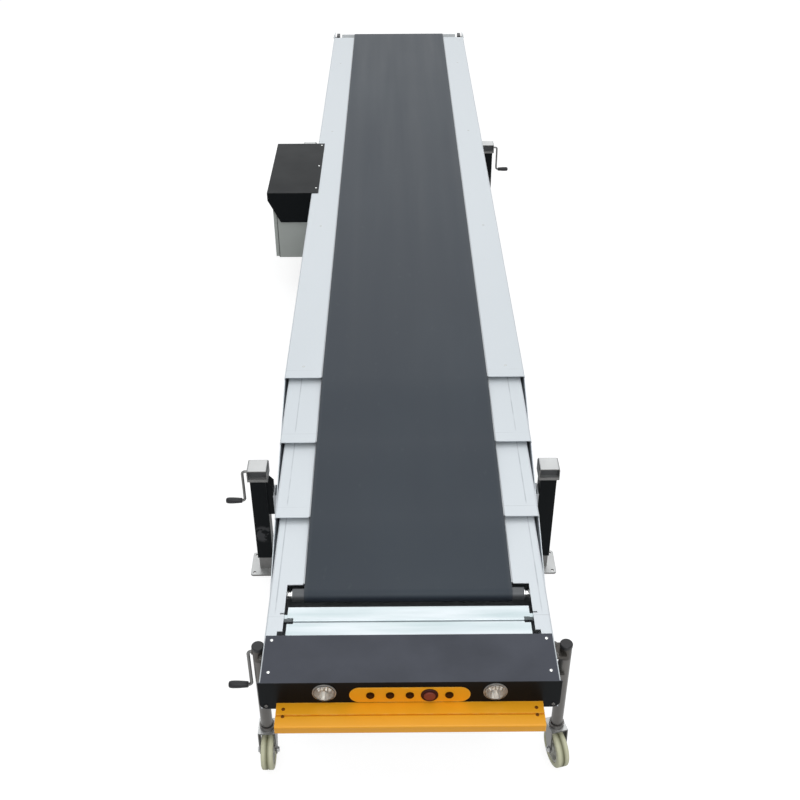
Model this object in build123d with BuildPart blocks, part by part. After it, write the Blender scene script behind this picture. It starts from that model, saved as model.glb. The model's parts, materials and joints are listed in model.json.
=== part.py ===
from build123d import *
import os
from typing import NamedTuple

os.makedirs("parts", exist_ok=True)

# Driving sizes in millimetres: X to the right, Y to the tail, Z up from the floor
DECK_HEIGHT = 660
BASE_WIDTH = 1020
BASE_DEPTH = 360
BASE_LENGTH = 4961
SIDE_STEP = 15.5
LEVEL_STEP = 20
SHEET = 3
THIN_SHEET = 3
BEND = 4
FLANGE = 50
RUN_GAP = 0.3
BORE_GAP = 0.05
SEAT_GAP = 0.1

# Side channels: slanted front, bay for the support rollers, lip under the cover, rear corner
BAY = 90
EAR = 24
EAR_INSET = 10
SLANT = 0.376
LIP_DROP = 12
CORNER = 45
COVER_SETBACK = 180

# Beds, pans and cross ties
BED_LAP = 45
BED_SETBACK = 8
PAN_SHEET = 2
TIE_WIDTH = 80
TIE_HEIGHT = 40
TIE_SHORT = 8
TAIL_TIE_INSET = 400
REAR_PLATE_INSET = 140
REAR_PLATE_CLEAR = 25
TAIL_PAN = 380

# Belt and rollers
BELT_WIDTH = 700
BELT_THICKNESS = 3
BELT_SIDE_GAP = 5
RAMP_GAP = 1
RAMP_EDGE = 1
RAMP_SHORT = 40
TAIL_SETBACK = 90
TAIL_RADIUS = 55
TAIL_LENGTH = 900
TAIL_SHAFT = 17
TAIL_RETURN = 300
BEARING_WIDTH = 24
BEARING_DEPTH = 80
BEARING_HEIGHT = 106
BEARING_ARM = 16
BEARING_ARM_HEIGHT = 50
NOSE_RADIUS = 22
NOSE_LENGTH = 780
NOSE_SHAFT = 10
NOSE_RETURN = 600
GUIDE_RADIUS = 25
GUIDE_WIDTH = 37
GUIDE_PIN = 12
GUIDE_INSET = 8

# Nose
NOTCH_TO_AXIS = 24
NOTCH_HALF = 408
NOTCH_TO_BOX = 229
TAPER_TO_AXIS = 74
BOX_DEPTH = 192
BOX_HEIGHT = 121
BOX_CORNER = 25
TOP_INSET = 5
FACE_LAP = 4
BAR_DEPTH = 63
BAR_HEIGHT = 25
BAR_GAP = 5
BAR_END_GAP = 11
BAR_LUG = 80
BAR_LUG_HEIGHT = 15
BAR_LUG_DEPTH = 16
BAR_LUG_SHIFT = 10
BAR_CUT = 20
BAR_CUT_DEPTH = 13
BAR_TIE = 60
BAR_TIE_SPREAD = 200
SLOT_SETBACK = 97.5
SLOT_REACH = 14
SLOT_WIDTH = 6
NOTCH_CUT = 17
NOTCH_CUT_DEPTH = 21
CONTROL_WIDTH = 374
CONTROL_HEIGHT = 66
CONTROL_DROP = 56.5
CONTROL_SHEET = 2
BUTTON_PITCH = 61
BUTTON_RADIUS = 10
BUTTON_RIM = 3
BUTTON_HEIGHT = 7
STOP_RADIUS = 27
STOP_KNOB = 18
STOP_HEIGHT = 9
STOP_RIM_HEIGHT = 5
LAMP_SPREAD = 264
LAMP_DROP = 45
LAMP_RADIUS = 37
LAMP_RIM = 6
LAMP_RIM_HEIGHT = 3
LAMP_BOWL = 22
LENS_HEIGHT = 5
BUMPER_DEPTH = 91.5
BUMPER_HEIGHT = 33
BUMPER_WIDTH = 828
BUMPER_DROP = 93
BUMPER_GAP = 1.5
BUMPER_CORNER = 6
SPACER_WIDTH = 40
SPACER_HEIGHT = 12

# Jack legs
LEFT_JACK_OUT = 588
RIGHT_JACK_OUT = 567
JACK_DROP = 119
JACK_TUBE = 64
JACK_WALL = 4
JACK_HEAD = 82
JACK_HEAD_DEPTH = 75
JACK_HEAD_HEIGHT = 55
JACK_FLANGE = 13
HEAD_BEND = 8
GEAR_DEPTH = 40
JACK_CLEAR = 72
LEG_ROOM = 70
LEG_TUBE = JACK_TUBE - 2 * JACK_WALL - 2 * RUN_GAP
FOOT_WIDTH = 130
FOOT_DEPTH = 134
FOOT_THICKNESS = 8
FOOT_CORNER = 12
FOOT_HOLE_X = 98
FOOT_HOLE_Y = 104
FOOT_HOLE_RADIUS = 6.5
FRONT_JACK_REACH = 443
REAR_JACK_INSET = 2078
BRACKET_DEPTH = 22
BRACKET_WIDTH = 70
BRACKET_HEIGHT = 105
BRACKET_LIFT = 8
LUG_WIDTH = 50
LUG_STEP = 37
LUG_RISE = 65

# Crank handles
CRANK_ROD = 5.5
CRANK_BEND = 12
CRANK_SEAT = 18
CRANK_GRIP = 13
GRIP_LENGTH = 72
GRIP_GAP = 6
JACK_CRANK_DROP = 30
JACK_CRANK_ARM = 150
JACK_CRANK_OUT = 23
POLE_CRANK_DROP = 28
POLE_CRANK_ARM = 160
POLE_CRANK_OUT = 14

# Jockey poles and wheels
LEFT_POLE_OUT = 486
RIGHT_POLE_OUT = 506
POLE_SETBACK = 179
POLE_DROP = 100
POLE_RADIUS = 20
POLE_BORE = 17
POLE_BOSS = 2
BOSS_WALL = 5
CAP_HEIGHT = 12
CAP_LAP = 1
CLAMP_DEPTH = 60
CLAMP_HEIGHT = 12
CLAMP_DROPS = (120, 30)
STEM_RADIUS = POLE_BORE - RUN_GAP
STEM_ROOM = 40
COLLAR_RADIUS = 25
COLLAR_HEIGHT = 16
COLLAR_GAP = 2.7
KING_PIN = 8
WHEEL_RADIUS = 68
WHEEL_WIDTH = 42
HUB_RADIUS = 50
HUB_RIM = 8
HUB_BOSS = 15
HUB_WEB = 10
GROOVE_WIDTH = 5
GROOVE_DEPTH = 3
AXLE_RADIUS = 6
TRAIL = 21
FORK_HALF = 30
FORK_PLATE = 6
FORK_CLEAR = 24
FORK_FRONT = 32
FORK_BACK = 34
CHEEK_EYE = 15

# Motor hood and cabinet
HOOD_LAP = 39
HOOD_LENGTH = 732
HOOD_INSET = 2370.75
HOOD_LIP = 43
HOOD_DEPTH = 179
HOOD_TAPER = 68
HOOD_OVERHANG = 26
HOOD_SHEET = 2.5
CABINET_OUT = 718
CABINET_HEIGHT = 360
CABINET_DROP = 7
CABINET_SETBACK = 14
DOOR_THICKNESS = 18
DOOR_MARGIN = 2
DOOR_END_GAP = 6
HINGE_PIN = 4
HINGE_LEAF = 30
MOTOR_ROOM = 332
MOTOR_INSET = 150
MOTOR_RADIUS = 70
MOTOR_LENGTH = 190
GEARBOX_WIDTH = 150
GEARBOX_DEPTH = 170
GEARBOX_HEIGHT = 180
GEARBOX_DROP = 60


class Section(NamedTuple):
    name: str
    shown: float
    inset: float
    reach: float


class Jack(NamedTuple):
    name: str
    side: int
    out: float
    y: float
    crank: bool


class Jockey(NamedTuple):
    name: str
    side: int
    out: float
    turn: float
    crank: bool


class Crank(NamedTuple):
    name: str
    side: int
    inside: float
    outside: float
    y: float
    z: float
    arm: float


# Sections from the outside in: cover length shown, inset of the rear end, reach of the side plates
SECTIONS = [
    Section("base", 0, 0, 620),
    Section("section_2", 423, 580, 400),
    Section("section_3", 417, 980, 400),
    Section("nose", 318, 1380, 0),
]
NOSE = len(SECTIONS) - 1
OVERALL = BASE_LENGTH + sum(s.shown for s in SECTIONS) + NOTCH_TO_BOX + BOX_DEPTH + BUMPER_DEPTH
REAR_Y = OVERALL / 2
COVER_EDGE = BELT_WIDTH / 2 + BELT_SIDE_GAP
CENTRE = Align.CENTER


def half(i):
    return BASE_WIDTH / 2 - i * SIDE_STEP


def top(i):
    return DECK_HEIGHT - i * LEVEL_STEP


def bottom(i):
    return DECK_HEIGHT - BASE_DEPTH + i * LEVEL_STEP


def rear(i):
    return REAR_Y - SECTIONS[i].inset


def front(i):
    return REAR_Y - BASE_LENGTH - sum(s.shown for s in SECTIONS[: i + 1])


BOX_BACK = front(NOSE) - NOTCH_TO_BOX
FACE_Y = BOX_BACK - BOX_DEPTH
FACE_TOP = top(NOSE) + THIN_SHEET
FACE_BOTTOM = FACE_TOP - BOX_HEIGHT


def tip(i):
    return front(i) - SECTIONS[i].reach if i < NOSE else FACE_Y + THIN_SHEET


def guide_axis(i):
    return tip(i) + EAR + EAR_INSET, bottom(i + 1) - RUN_GAP - GUIDE_RADIUS


FRONT_JACK_Y = front(0) - FRONT_JACK_REACH
REAR_JACK_Y = REAR_Y - REAR_JACK_INSET
JACKS = [
    Jack("front_left", -1, LEFT_JACK_OUT, FRONT_JACK_Y, True),
    Jack("front_right", 1, RIGHT_JACK_OUT, FRONT_JACK_Y, False),
    Jack("rear_left", -1, LEFT_JACK_OUT, REAR_JACK_Y, False),
    Jack("rear_right", 1, RIGHT_JACK_OUT, REAR_JACK_Y, True),
]
JACK_TOP = DECK_HEIGHT - JACK_DROP
TUBE_TOP = JACK_TOP - JACK_HEAD_HEIGHT
LEG_TOP = TUBE_TOP - LEG_ROOM
CRANK_Z = JACK_TOP - JACK_CRANK_DROP
JOCKEYS = [
    Jockey("left", -1, LEFT_POLE_OUT, 0, True),
    Jockey("right", 1, RIGHT_POLE_OUT, 15, False),
]
POLE_Y = FACE_Y + POLE_SETBACK
POLE_TOP = DECK_HEIGHT - POLE_DROP
POLE_CRANK_Z = POLE_TOP + CAP_HEIGHT - POLE_CRANK_DROP
FORK_TOP = 2 * WHEEL_RADIUS + FORK_CLEAR + FORK_PLATE
POLE_BOTTOM = FORK_TOP + RUN_GAP + COLLAR_HEIGHT + COLLAR_GAP
STEM_TOP = POLE_TOP - STEM_ROOM
TAIL_Y = REAR_Y - TAIL_SETBACK
TAIL_Z = DECK_HEIGHT - SHEET - RUN_GAP - TAIL_RADIUS
COVER_REAR = REAR_Y - COVER_SETBACK
ROLLER_Y = front(NOSE) - NOTCH_TO_AXIS
ROLLER_Z = top(NOSE) - SHEET - RUN_GAP - NOSE_RADIUS
TAPER_Y = ROLLER_Y - TAPER_TO_AXIS
HOOD_FRONT = REAR_Y - HOOD_INSET - HOOD_LENGTH


def save(builder, name):
    builder.part.label = name
    export_step(builder.part, f"parts/{name}.step")


def outline(*points):
    Polygon(*points, align=None)


# Folded side channels: the top flange is the cover strip beside the belt
for i, section in enumerate(SECTIONS):
    with BuildPart() as channels:
        with BuildSketch(Plane.XZ.offset(-rear(i))) as fold:
            outline(
                (COVER_EDGE, top(i)),
                (half(i), top(i)),
                (half(i), bottom(i)),
                (half(i) - FLANGE, bottom(i)),
                (half(i) - FLANGE, bottom(i) + SHEET),
                (half(i) - SHEET, bottom(i) + SHEET),
                (half(i) - SHEET, top(i) - SHEET),
                (COVER_EDGE, top(i) - SHEET),
            )
            fillet(fold.vertices().group_by(Axis.X)[-2], BEND)
            fillet(fold.vertices().group_by(Axis.X)[-1], BEND + SHEET)
        extrude(amount=rear(i) - tip(i))
        if i < NOSE:
            axis_y, axis_z = guide_axis(i)
            with BuildSketch(Plane.YZ):
                outline(
                    (front(i), top(i) + SHEET),
                    (front(i), top(i) - LIP_DROP),
                    (tip(i) - SHEET, top(i) - LIP_DROP - SLANT * section.reach),
                    (tip(i) - SHEET, top(i) + SHEET),
                )
            extrude(amount=half(i) + SHEET, mode=Mode.SUBTRACT)
            with Locations((half(i) - SHEET, tip(i), bottom(i))):
                Box(FLANGE, 2 * BAY, 4 * SHEET, align=(Align.MAX, CENTRE, CENTRE), mode=Mode.SUBTRACT)
            with BuildSketch(Plane.YZ.offset(half(i) - SHEET)):
                with Locations((axis_y, axis_z)):
                    Circle(EAR)
                with Locations((axis_y, axis_z)):
                    Rectangle(2 * EAR, 3 * EAR, align=(CENTRE, Align.MIN))
            extrude(amount=SHEET)
        else:
            with Locations((NOTCH_HALF, front(i), top(i))):
                notch = front(i) - tip(i) + SHEET
                Box(NOTCH_HALF, notch, 3 * SHEET, align=(Align.MAX, Align.MAX, CENTRE), mode=Mode.SUBTRACT)
            with Locations((NOTCH_HALF, BOX_BACK, top(i))):
                Box(2 * NOTCH_CUT, 2 * NOTCH_CUT_DEPTH, 3 * SHEET, mode=Mode.SUBTRACT)
            with Locations((NOTCH_HALF, BOX_BACK + SLOT_SETBACK, top(i))):
                Box(2 * SLOT_REACH, SLOT_WIDTH, 3 * SHEET, mode=Mode.SUBTRACT)
            with BuildSketch(Plane.YZ):
                outline(
                    (TAPER_Y, bottom(i) - SHEET),
                    (TAPER_Y, bottom(i) + 2 * SHEET),
                    (tip(i) - SHEET, FACE_BOTTOM),
                    (tip(i) - SHEET, bottom(i) - SHEET),
                )
            extrude(amount=half(i) + SHEET, mode=Mode.SUBTRACT)
        if i == 0:
            with Locations((half(i) - 2 * SHEET, COVER_REAR, top(i))):
                Box(
                    half(i),
                    2 * COVER_SETBACK,
                    3 * SHEET,
                    align=(Align.MAX, Align.MIN, CENTRE),
                    mode=Mode.SUBTRACT,
                )
            with BuildSketch(Plane.YZ):
                with Locations((rear(i) - CORNER, top(i) - CORNER)):
                    Rectangle(2 * CORNER, 2 * CORNER, align=(Align.MIN, Align.MIN))
                    Circle(CORNER, mode=Mode.SUBTRACT)
            extrude(amount=half(i) + SHEET, mode=Mode.SUBTRACT)
        mirror(about=Plane.YZ)
    save(channels, f"{section.name}_side_channels")

# Belt beds welded under the cover strips, with the bottom pans and cross ties
TIES = [
    FRONT_JACK_Y,
    (FRONT_JACK_Y + REAR_JACK_Y) / 2,
    REAR_JACK_Y,
    REAR_Y - TAIL_TIE_INSET,
]
for i, section in enumerate(SECTIONS):
    bed_rear = COVER_REAR - BED_SETBACK if i == 0 else rear(i)
    bed_front = front(i) + BED_SETBACK
    pan_width = 2 * (half(i) - SHEET - BEND)
    pan_z = bottom(i) + SHEET
    with BuildPart() as bed:
        with Locations((0, bed_front, top(i) - SHEET)):
            Box(
                2 * (COVER_EDGE + BED_LAP),
                bed_rear - bed_front,
                THIN_SHEET,
                align=(CENTRE, Align.MIN, Align.MAX),
            )
        if i == 0:
            for y in TIES:
                with Locations((0, y, bottom(0))):
                    Box(2 * (half(0) - TIE_SHORT), TIE_WIDTH, TIE_HEIGHT, align=(CENTRE, CENTRE, Align.MAX))
            plate_height = TAIL_Z - TAIL_RADIUS - REAR_PLATE_CLEAR - pan_z - BEND
            with Locations((0, REAR_Y - REAR_PLATE_INSET, pan_z + BEND)):
                Box(2 * (half(0) - SHEET), THIN_SHEET, plate_height, align=(CENTRE, Align.MAX, Align.MIN))
            with Locations((0, REAR_Y - REAR_PLATE_INSET, pan_z)):
                Box(pan_width, TAIL_PAN, BEND, align=(CENTRE, Align.MAX, Align.MIN))
        elif i < NOSE:
            with Locations((0, tip(i) + BAY, pan_z)):
                Box(pan_width, rear(i) - tip(i) - BAY, PAN_SHEET, align=(CENTRE, Align.MIN, Align.MIN))
        else:
            with Locations((0, TAPER_Y, pan_z)):
                Box(pan_width, rear(i) - TAPER_Y, PAN_SHEET, align=(CENTRE, Align.MIN, Align.MIN))
            with BuildSketch(Plane.YZ):
                outline(
                    (TAPER_Y, pan_z + 2 * PAN_SHEET),
                    (TAPER_Y, pan_z + 3 * PAN_SHEET),
                    (tip(i), FACE_BOTTOM + 2 * PAN_SHEET),
                    (tip(i), FACE_BOTTOM + PAN_SHEET),
                )
            extrude(amount=half(i) - SHEET, both=True)
    save(bed, f"{section.name}_bed_and_pan")

# Belt: one piece per section, each with a tapered front that leads down to the next
for i, section in enumerate(SECTIONS):
    low = top(i) - SHEET
    high = low + BELT_THICKNESS
    if i < NOSE:
        end = front(i) - SECTIONS[i + 1].shown + RAMP_SHORT
        land = top(i + 1) - SHEET + BELT_THICKNESS + RAMP_GAP
    with BuildPart() as belt:
        with BuildSketch(Plane.YZ):
            if 0 < i < NOSE:
                outline(
                    (rear(i), low),
                    (rear(i), high),
                    (front(i), high),
                    (end, land + RAMP_EDGE),
                    (end, land),
                    (front(i) + BED_SETBACK, low),
                )
            elif i == 0:
                under = 2 * TAIL_Z - high
                over = 2 * TAIL_Z - low
                back = TAIL_Y - TAIL_RETURN
                with BuildLine():
                    Polyline(
                        (TAIL_Y, low),
                        (front(i) + BED_SETBACK, low),
                        (end, land),
                        (end, land + RAMP_EDGE),
                        (front(i), high),
                        (TAIL_Y, high),
                    )
                    ThreePointArc((TAIL_Y, high), (TAIL_Y + high - TAIL_Z, TAIL_Z), (TAIL_Y, under))
                    Polyline((TAIL_Y, under), (back, under), (back, over), (TAIL_Y, over))
                    ThreePointArc((TAIL_Y, over), (TAIL_Y + low - TAIL_Z, TAIL_Z), (TAIL_Y, low))
                make_face()
            else:
                under = 2 * ROLLER_Z - high
                over = 2 * ROLLER_Z - low
                back = ROLLER_Y + NOSE_RETURN
                with BuildLine():
                    Polyline((ROLLER_Y, low), (rear(i), low), (rear(i), high), (ROLLER_Y, high))
                    ThreePointArc((ROLLER_Y, high), (ROLLER_Y - high + ROLLER_Z, ROLLER_Z), (ROLLER_Y, under))
                    Polyline((ROLLER_Y, under), (back, under), (back, over), (ROLLER_Y, over))
                    ThreePointArc((ROLLER_Y, over), (ROLLER_Y - low + ROLLER_Z, ROLLER_Z), (ROLLER_Y, low))
                make_face()
        extrude(amount=BELT_WIDTH / 2, both=True)
    save(belt, f"{section.name}_belt")

# Support rollers on the front tips, under the bottom flanges of the next section in
for i, section in enumerate(SECTIONS[:NOSE]):
    axis_y, axis_z = guide_axis(i)
    inner = half(i + 1) - GUIDE_INSET
    with BuildPart() as guides:
        with Locations(Location((inner, axis_y, axis_z), (0, 90, 0))):
            Cylinder(GUIDE_RADIUS, GUIDE_WIDTH, align=(CENTRE, CENTRE, Align.MAX))
            Cylinder(GUIDE_PIN, half(i) - SHEET - inner, align=(CENTRE, CENTRE, Align.MIN))
        mirror(about=Plane.YZ)
    save(guides, f"{section.name}_support_rollers")

# Tail and nose rollers
with BuildPart() as tail_roller:
    with Locations(Location((0, TAIL_Y, TAIL_Z), (0, 90, 0))):
        Cylinder(TAIL_RADIUS, TAIL_LENGTH)
        Cylinder(TAIL_SHAFT, 2 * (half(0) - SHEET))
save(tail_roller, "tail_roller")

with BuildPart() as tail_bearings:
    with Locations((half(0) - SHEET - BEARING_ARM, TAIL_Y, TAIL_Z)):
        Box(BEARING_WIDTH, BEARING_DEPTH, BEARING_HEIGHT, align=(Align.MAX, CENTRE, CENTRE))
        Box(BEARING_ARM, BEARING_DEPTH, BEARING_ARM_HEIGHT, align=(Align.MIN, CENTRE, CENTRE))
    with Locations(Location((half(0) - SHEET, TAIL_Y, TAIL_Z), (0, 90, 0))):
        Cylinder(TAIL_SHAFT + BORE_GAP, 4 * BEARING_WIDTH, mode=Mode.SUBTRACT)
    mirror(about=Plane.YZ)
save(tail_bearings, "tail_bearings")

with BuildPart() as nose_roller:
    with Locations(Location((0, ROLLER_Y, ROLLER_Z), (0, 90, 0))):
        Cylinder(NOSE_RADIUS, NOSE_LENGTH)
        Cylinder(NOSE_SHAFT, 2 * (half(NOSE) - SHEET))
save(nose_roller, "nose_roller")

# Transfer bars between the nose roller and the control box
BAR_TOP = top(NOSE) - SHEET - BEND + THIN_SHEET
with BuildPart() as bars:
    for k in range(2):
        y = BOX_BACK + SEAT_GAP + BAR_DEPTH / 2 + k * (BAR_DEPTH + BAR_GAP)
        with BuildSketch(Plane.YZ) as fold:
            with Locations((y, BAR_TOP)):
                Rectangle(BAR_DEPTH, BAR_HEIGHT, align=(CENTRE, Align.MAX))
            fillet(fold.vertices().group_by(Axis.Y)[-1], BEND)
            with Locations((y, BAR_TOP - THIN_SHEET)):
                Rectangle(
                    BAR_DEPTH - 2 * THIN_SHEET,
                    BAR_HEIGHT,
                    align=(CENTRE, Align.MAX),
                    mode=Mode.SUBTRACT,
                )
        extrude(amount=NOTCH_HALF - BAR_END_GAP, both=True)
    for side in (-1, 1):
        inward = Align.MAX if side > 0 else Align.MIN
        with Locations((side * (NOTCH_HALF - BAR_END_GAP), y - BAR_DEPTH / 2, BAR_TOP)):
            Box(2 * BAR_CUT, 2 * BAR_CUT_DEPTH, 3 * BAR_HEIGHT, mode=Mode.SUBTRACT)
        with Locations((side * (half(NOSE) - SHEET), y - BAR_LUG_SHIFT, BAR_TOP - THIN_SHEET)):
            Box(BAR_LUG, BAR_LUG_DEPTH, BAR_LUG_HEIGHT, align=(inward, CENTRE, Align.MAX))
        with Locations((side * BAR_TIE_SPREAD, y + BAR_DEPTH / 2, BAR_TOP - BAR_HEIGHT)):
            Box(BAR_TIE, 2 * BAR_DEPTH + BAR_GAP, SHEET, align=(CENTRE, Align.MAX, Align.MIN))
save(bars, "transfer_bars")

# Control box on the nose, with its plate, buttons and lamps
FACE = Plane.XZ.offset(-FACE_Y)
CONTROL_Z = FACE_TOP - CONTROL_DROP
LAMPS = [FACE * Location((side * LAMP_SPREAD, FACE_TOP - LAMP_DROP, 0)) for side in (-1, 1)]
OUTWARD = (CENTRE, CENTRE, Align.MIN)
INWARD = (CENTRE, CENTRE, Align.MAX)
with BuildPart() as box:
    with Locations((0, FACE_Y, top(NOSE))):
        Box(2 * (half(NOSE) - TOP_INSET), BOX_DEPTH, THIN_SHEET, align=(CENTRE, Align.MIN, Align.MIN))
    with Locations((0, FACE_Y, FACE_TOP)):
        Box(2 * (half(NOSE) + FACE_LAP), THIN_SHEET, BOX_HEIGHT, align=(CENTRE, Align.MIN, Align.MAX))
    fillet(box.edges().filter_by(Axis.Y).group_by(Axis.Z)[0], BOX_CORNER)
    with Locations(*LAMPS):
        Cylinder(LAMP_RADIUS - LAMP_RIM + SEAT_GAP, 4 * THIN_SHEET, mode=Mode.SUBTRACT)
save(box, "control_box")

with BuildPart() as control_plate:
    with BuildSketch(FACE):
        with Locations((0, CONTROL_Z)):
            SlotOverall(CONTROL_WIDTH, CONTROL_HEIGHT)
    extrude(amount=CONTROL_SHEET)
save(control_plate, "control_plate")

with BuildPart() as buttons:
    for k in (-2, -1, 0, 2):
        with Locations(FACE * Location((k * BUTTON_PITCH, CONTROL_Z, CONTROL_SHEET))):
            Cylinder(BUTTON_RADIUS + BUTTON_RIM, BUTTON_HEIGHT / 2, align=OUTWARD)
            Cylinder(BUTTON_RADIUS, BUTTON_HEIGHT, align=OUTWARD)
save(buttons, "push_buttons")

with BuildPart() as stop:
    with Locations(FACE * Location((BUTTON_PITCH, CONTROL_Z, CONTROL_SHEET))):
        Cylinder(STOP_RADIUS, STOP_RIM_HEIGHT, align=OUTWARD)
        Cylinder(STOP_KNOB, STOP_HEIGHT, align=OUTWARD)
    fillet(stop.faces().sort_by(Axis.Y)[0].edges(), BUTTON_RIM)
    fillet(stop.edges().filter_by(GeomType.CIRCLE).group_by(SortBy.RADIUS)[-1].sort_by(Axis.Y)[0], BUTTON_RIM)
save(stop, "emergency_stop")

with BuildPart() as lamp_bodies:
    for lamp in LAMPS:
        with Locations(lamp):
            Cylinder(LAMP_RADIUS, LAMP_RIM_HEIGHT, align=OUTWARD)
            Cylinder(LAMP_RADIUS - LAMP_RIM, LAMP_BOWL, align=INWARD)
        with Locations(lamp * Location((0, 0, LAMP_RIM_HEIGHT))):
            Cone(
                LAMP_RADIUS / 3,
                LAMP_RADIUS - LAMP_RIM,
                LAMP_BOWL,
                align=INWARD,
                mode=Mode.SUBTRACT,
            )
save(lamp_bodies, "lamp_bodies")

with BuildPart() as lamp_lenses:
    for lamp in LAMPS:
        with Locations(lamp * Location((0, 0, LAMP_RIM_HEIGHT))):
            Cylinder(LAMP_RADIUS - BUTTON_RIM, LENS_HEIGHT, align=OUTWARD)
    fillet(lamp_lenses.faces().filter_by(Axis.Y).group_by(Axis.Y)[0].edges(), LENS_HEIGHT - 1)
save(lamp_lenses, "lamp_lenses")

# Yellow bumper: a channel on the box face and a tube in front of it, held by spacers
BUMPER_TOP = FACE_TOP - BUMPER_DROP
STRIP = (BUMPER_DEPTH - BUMPER_GAP) / 2
with BuildPart() as bumper:
    with BuildSketch(Plane.YZ):
        with Locations((FACE_Y, BUMPER_TOP)):
            Rectangle(STRIP, BUMPER_HEIGHT, align=(Align.MAX, Align.MAX))
        with Locations((FACE_Y - THIN_SHEET, BUMPER_TOP - THIN_SHEET)):
            Rectangle(STRIP - 2 * THIN_SHEET, BUMPER_HEIGHT, align=(Align.MAX, Align.MAX), mode=Mode.SUBTRACT)
        with Locations((FACE_Y - BUMPER_DEPTH, BUMPER_TOP)):
            RectangleRounded(STRIP, BUMPER_HEIGHT, BUMPER_CORNER, align=(Align.MIN, Align.MAX))
        with Locations((FACE_Y - BUMPER_DEPTH + THIN_SHEET, BUMPER_TOP - THIN_SHEET)):
            RectangleRounded(
                STRIP - 2 * THIN_SHEET,
                BUMPER_HEIGHT - 2 * THIN_SHEET,
                BUMPER_CORNER - THIN_SHEET,
                align=(Align.MIN, Align.MAX),
                mode=Mode.SUBTRACT,
            )
    extrude(amount=BUMPER_WIDTH / 2, both=True)
    for side in (-1, 1):
        with Locations((side * BUMPER_WIDTH / 3, FACE_Y - BUMPER_DEPTH / 2, BUMPER_TOP - BUMPER_HEIGHT / 2)):
            Box(SPACER_WIDTH, BUMPER_GAP + THIN_SHEET, SPACER_HEIGHT)
save(bumper, "nose_bumper")

# Motor hood over the drive motor and the electrical cabinet, on the left
LEFT_WALL = -half(0)
HOOD_OUT = CABINET_OUT + DOOR_THICKNESS + HOOD_OVERHANG
with BuildPart() as hood:
    with Locations((LEFT_WALL + HOOD_LAP, HOOD_FRONT, DECK_HEIGHT)):
        Box(
            HOOD_OUT + LEFT_WALL + HOOD_LAP,
            HOOD_LENGTH,
            HOOD_SHEET,
            align=(Align.MAX, Align.MIN, Align.MIN),
        )
    with Locations((-HOOD_OUT, HOOD_FRONT, DECK_HEIGHT + HOOD_SHEET)):
        Box(HOOD_SHEET, HOOD_LENGTH, HOOD_LIP + HOOD_SHEET, align=(Align.MIN, Align.MIN, Align.MAX))
    for y in (HOOD_FRONT + HOOD_SHEET, HOOD_FRONT + HOOD_LENGTH):
        with BuildSketch(Plane.XZ.offset(-y)):
            outline(
                (LEFT_WALL, DECK_HEIGHT),
                (-HOOD_OUT, DECK_HEIGHT),
                (-HOOD_OUT, DECK_HEIGHT - HOOD_LIP),
                (HOOD_TAPER - HOOD_OUT, DECK_HEIGHT - HOOD_DEPTH),
                (LEFT_WALL, DECK_HEIGHT - HOOD_DEPTH),
            )
        extrude(amount=HOOD_SHEET)
save(hood, "motor_hood")

CABINET_TOP = DECK_HEIGHT - HOOD_LIP - CABINET_DROP
CABINET_BOTTOM = CABINET_TOP - CABINET_HEIGHT
CABINET_LENGTH = HOOD_LENGTH - MOTOR_ROOM
CABINET_Y = HOOD_FRONT + CABINET_SETBACK
PIVOT_X = -CABINET_OUT - RUN_GAP - DOOR_THICKNESS / 2
PIVOT_Y = CABINET_Y + CABINET_LENGTH - DOOR_MARGIN - DOOR_THICKNESS / 2
with BuildPart() as cabinet:
    with Locations((LEFT_WALL, CABINET_Y, CABINET_BOTTOM)):
        Box(
            CABINET_OUT + LEFT_WALL,
            CABINET_LENGTH,
            CABINET_HEIGHT,
            align=(Align.MAX, Align.MIN, Align.MIN),
        )
    for z, align in ((CABINET_TOP, Align.MAX), (CABINET_BOTTOM, Align.MIN)):
        with Locations((-CABINET_OUT - DOOR_THICKNESS, CABINET_Y + CABINET_LENGTH, z)):
            Box(HINGE_LEAF, HINGE_LEAF, SHEET, align=(Align.MIN, Align.MAX, align))
    with Locations((PIVOT_X, PIVOT_Y, CABINET_BOTTOM)):
        Cylinder(HINGE_PIN + BORE_GAP, 3 * CABINET_HEIGHT, mode=Mode.SUBTRACT)
save(cabinet, "electrical_cabinet")

with BuildPart() as door:
    with Locations((-CABINET_OUT - RUN_GAP, CABINET_Y + DOOR_MARGIN, CABINET_BOTTOM + DOOR_END_GAP)):
        Box(
            DOOR_THICKNESS,
            CABINET_LENGTH - 2 * DOOR_MARGIN,
            CABINET_HEIGHT - 2 * DOOR_END_GAP,
            align=(Align.MAX, Align.MIN, Align.MIN),
        )
    fillet(door.edges().filter_by(Axis.Z).group_by(Axis.Y)[-1], DOOR_THICKNESS / 2 - SEAT_GAP)
    with Locations((PIVOT_X, PIVOT_Y, CABINET_BOTTOM + SHEET / 4)):
        Cylinder(HINGE_PIN, CABINET_HEIGHT - SHEET / 2, align=OUTWARD)
save(door, "cabinet_door")

with BuildPart() as motor:
    with Locations((LEFT_WALL, HOOD_FRONT + HOOD_LENGTH - MOTOR_INSET, DECK_HEIGHT - GEARBOX_DROP)):
        Box(GEARBOX_WIDTH, GEARBOX_DEPTH, GEARBOX_HEIGHT, align=(Align.MAX, CENTRE, Align.MAX))
    motor_x = LEFT_WALL - GEARBOX_WIDTH / 2
    motor_z = DECK_HEIGHT - GEARBOX_DROP - GEARBOX_HEIGHT
    with Locations((motor_x, HOOD_FRONT + HOOD_LENGTH - MOTOR_INSET, motor_z)):
        Cylinder(MOTOR_RADIUS, MOTOR_LENGTH, align=INWARD)
save(motor, "drive_motor")

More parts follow.
